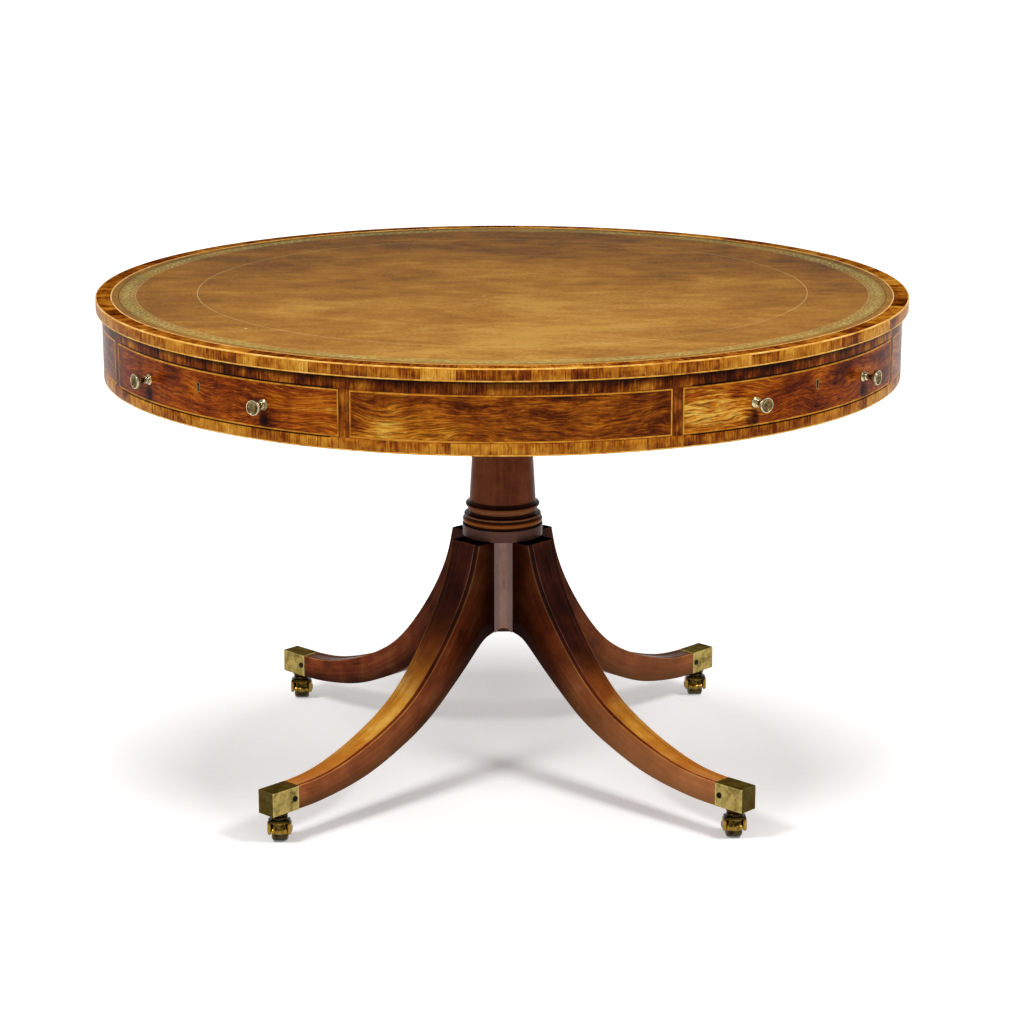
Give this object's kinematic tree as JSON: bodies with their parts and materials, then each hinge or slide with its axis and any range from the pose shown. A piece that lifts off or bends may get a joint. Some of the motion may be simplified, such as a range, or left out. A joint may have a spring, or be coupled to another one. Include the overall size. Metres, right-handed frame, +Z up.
{
  "type": "drum table",
  "caption": "Round revolving table top with a leather surface and drawers in a deep frieze, on a turned column with splayed legs and castors.",
  "frame": {"origin": "on the floor, under the column axis", "axes": "+Z up; the drawers and the legs face +X, +Y, -X and -Y"},
  "size_m": [1.2284, 1.2284, 0.762],
  "materials": {
    "mahogany": "french polished, dark red brown",
    "rosewood": "french polished, figured golden brown with dark streaks",
    "boxwood": "polished pale stringing",
    "oak": "bare, planed",
    "secondary_wood": "bare, planed",
    "leather": "worn, tooled border",
    "aged_brass": "aged, olive brown",
    "knob_brass": "rubbed pale",
    "iron": "forged, oiled"
  },
  "bodies": {
    "pedestal": {"column": "mahogany", "leg_right": "mahogany", "leg_back": "mahogany", "leg_left": "mahogany", "leg_front": "mahogany", "toe_cap_right": "aged_brass", "toe_cap_back": "aged_brass", "toe_cap_left": "aged_brass", "toe_cap_front": "aged_brass", "toe_cap_screws": "aged_brass", "bearing_block": "mahogany", "pivot_bolt": "iron", "pivot_nut": "iron"},
    "top": {"top_board": "secondary_wood", "leather_inset": "leather", "top_crossband": "rosewood", "top_edge_band": "rosewood", "top_strings": "boxwood", "frieze_top_rail": "rosewood", "frieze_bottom_rail": "rosewood", "frieze_bottom_string": "boxwood", "frieze_panels": "rosewood", "panel_strings": "boxwood", "drum_floor": "secondary_wood", "turning_plate": "mahogany", "drawer_guides": "secondary_wood", "drawer_stops": "secondary_wood", "case_screws": "iron"},
    "drawer_right": {"drawer_front_right": "rosewood", "drawer_box_right": "oak", "drawer_string_right": "boxwood", "drawer_knobs_right": "knob_brass", "drawer_lock_right": "knob_brass"},
    "bolt_right": {"lock_bolt_right": "knob_brass"},
    "castor_right": {"castor_horn_right": "aged_brass"},
    "wheel_right": {"castor_wheel_right": "aged_brass"},
    "drawer_back": {"drawer_front_back": "rosewood", "drawer_box_back": "oak", "drawer_string_back": "boxwood", "drawer_knobs_back": "knob_brass", "drawer_lock_back": "knob_brass"},
    "bolt_back": {"lock_bolt_back": "knob_brass"},
    "castor_back": {"castor_horn_back": "aged_brass"},
    "wheel_back": {"castor_wheel_back": "aged_brass"},
    "drawer_left": {"drawer_front_left": "rosewood", "drawer_box_left": "oak", "drawer_string_left": "boxwood", "drawer_knobs_left": "knob_brass", "drawer_lock_left": "knob_brass"},
    "bolt_left": {"lock_bolt_left": "knob_brass"},
    "castor_left": {"castor_horn_left": "aged_brass"},
    "wheel_left": {"castor_wheel_left": "aged_brass"},
    "drawer_front": {"drawer_front_front": "rosewood", "drawer_box_front": "oak", "drawer_string_front": "boxwood", "drawer_knobs_front": "knob_brass", "drawer_lock_front": "knob_brass"},
    "bolt_front": {"lock_bolt_front": "knob_brass"},
    "castor_front": {"castor_horn_front": "aged_brass"},
    "wheel_front": {"castor_wheel_front": "aged_brass"}
  },
  "joints": [
    {"name": "top_turn", "type": "hinge", "parent": "pedestal", "child": "top", "pos_m": [0, 0, 0.64], "axis": [0, 0, 1], "continuous": true},
    {"name": "drawer_right_slide", "type": "slide", "parent": "top", "child": "drawer_right", "axis": [1, 0, 0], "range_m": [0, 0.3]},
    {"name": "drawer_back_slide", "type": "slide", "parent": "top", "child": "drawer_back", "axis": [0, 1, 0], "range_m": [0, 0.3]},
    {"name": "drawer_left_slide", "type": "slide", "parent": "top", "child": "drawer_left", "axis": [-1, 0, 0], "range_m": [0, 0.3]},
    {"name": "drawer_front_slide", "type": "slide", "parent": "top", "child": "drawer_front", "axis": [0, -1, 0], "range_m": [0, 0.3]},
    {"name": "bolt_right_throw", "type": "slide", "parent": "drawer_right", "child": "bolt_right", "axis": [0, 0, 1], "range_m": [0, 0.006]},
    {"name": "bolt_back_throw", "type": "slide", "parent": "drawer_back", "child": "bolt_back", "axis": [0, 0, 1], "range_m": [0, 0.006]},
    {"name": "bolt_left_throw", "type": "slide", "parent": "drawer_left", "child": "bolt_left", "axis": [0, 0, 1], "range_m": [0, 0.006]},
    {"name": "bolt_front_throw", "type": "slide", "parent": "drawer_front", "child": "bolt_front", "axis": [0, 0, 1], "range_m": [0, 0.006]},
    {"name": "castor_right_swivel", "type": "hinge", "parent": "pedestal", "child": "castor_right", "pos_m": [0.4705, 0, 0.04], "axis": [0, 0, 1], "continuous": true},
    {"name": "wheel_right_roll", "type": "hinge", "parent": "castor_right", "child": "wheel_right", "pos_m": [0.45989, 0.01061, 0.018], "axis": [0.7071, 0.7071, 0], "continuous": true},
    {"name": "castor_back_swivel", "type": "hinge", "parent": "pedestal", "child": "castor_back", "pos_m": [0, 0.4705, 0.04], "axis": [0, 0, 1], "continuous": true},
    {"name": "wheel_back_roll", "type": "hinge", "parent": "castor_back", "child": "wheel_back", "pos_m": [-0.01061, 0.48111, 0.018], "axis": [0.7071, 0.7071, 0], "continuous": true},
    {"name": "castor_left_swivel", "type": "hinge", "parent": "pedestal", "child": "castor_left", "pos_m": [-0.4705, 0, 0.04], "axis": [0, 0, 1], "continuous": true},
    {"name": "wheel_left_roll", "type": "hinge", "parent": "castor_left", "child": "wheel_left", "pos_m": [-0.48111, 0.01061, 0.018], "axis": [0.7071, 0.7071, 0], "continuous": true},
    {"name": "castor_front_swivel", "type": "hinge", "parent": "pedestal", "child": "castor_front", "pos_m": [0, -0.4705, 0.04], "axis": [0, 0, 1], "continuous": true},
    {"name": "wheel_front_roll", "type": "hinge", "parent": "castor_front", "child": "wheel_front", "pos_m": [-0.01061, -0.45989, 0.018], "axis": [0.7071, 0.7071, 0], "continuous": true}
  ]
}
